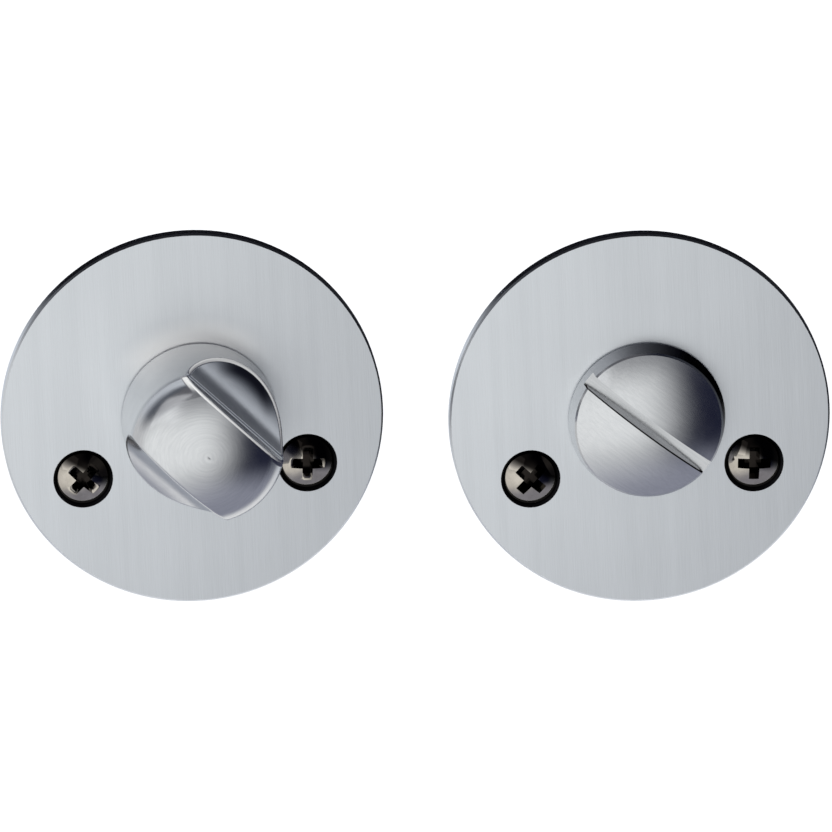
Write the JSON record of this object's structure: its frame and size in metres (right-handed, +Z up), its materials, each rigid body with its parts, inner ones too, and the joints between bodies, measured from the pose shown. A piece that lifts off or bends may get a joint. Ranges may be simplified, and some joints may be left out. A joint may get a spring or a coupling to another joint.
{
  "type": "bathroom thumb turn lock",
  "caption": "Inside thumb turn and outside coin release on round satin roses, with a square spindle and through fixings, for a bathroom door.",
  "frame": {"origin": "where the thumb turn's axis meets the back face of the inside rose, on the door's face", "axes": "+X from the inside half to the outside half in the layout, +Z up, +Y from the back of the roses into the door, so that the turn and the release face -Y"},
  "size_m": [0.1107, 0.0831, 0.0555],
  "materials": {
    "rose": "fine satin",
    "turned": "fine turned",
    "nylon": "moulded",
    "washer": "plain",
    "spring": "blackened",
    "bar": "zinc plated",
    "fixing": "dark nickel"
  },
  "bodies": {
    "roses": {"inside_rose": "rose", "inside_bush": "nylon", "inside_washer": "washer", "inside_disc_spring": "spring", "inside_bolts": "fixing", "outside_rose": "rose", "outside_bush": "nylon", "outside_washer": "washer", "outside_disc_spring": "spring", "outside_sleeves": "fixing"},
    "turn": {"thumb_turn": "turned", "spindle": "bar", "spindle_pin": "bar", "inside_retaining_ring": "spring"},
    "release": {"release": "turned", "outside_retaining_ring": "spring"}
  },
  "joints": [
    {"name": "turn_hinge", "type": "hinge", "parent": "roses", "child": "turn", "pos_m": [0, 0, 0], "axis": [0, 1, 0], "range_deg": [-46, 44]},
    {"name": "release_hinge", "type": "hinge", "parent": "roses", "child": "release", "pos_m": [0.0597, 0, -0.0045], "axis": [0, 1, 0], "range_deg": [-41, 49]}
  ]
}
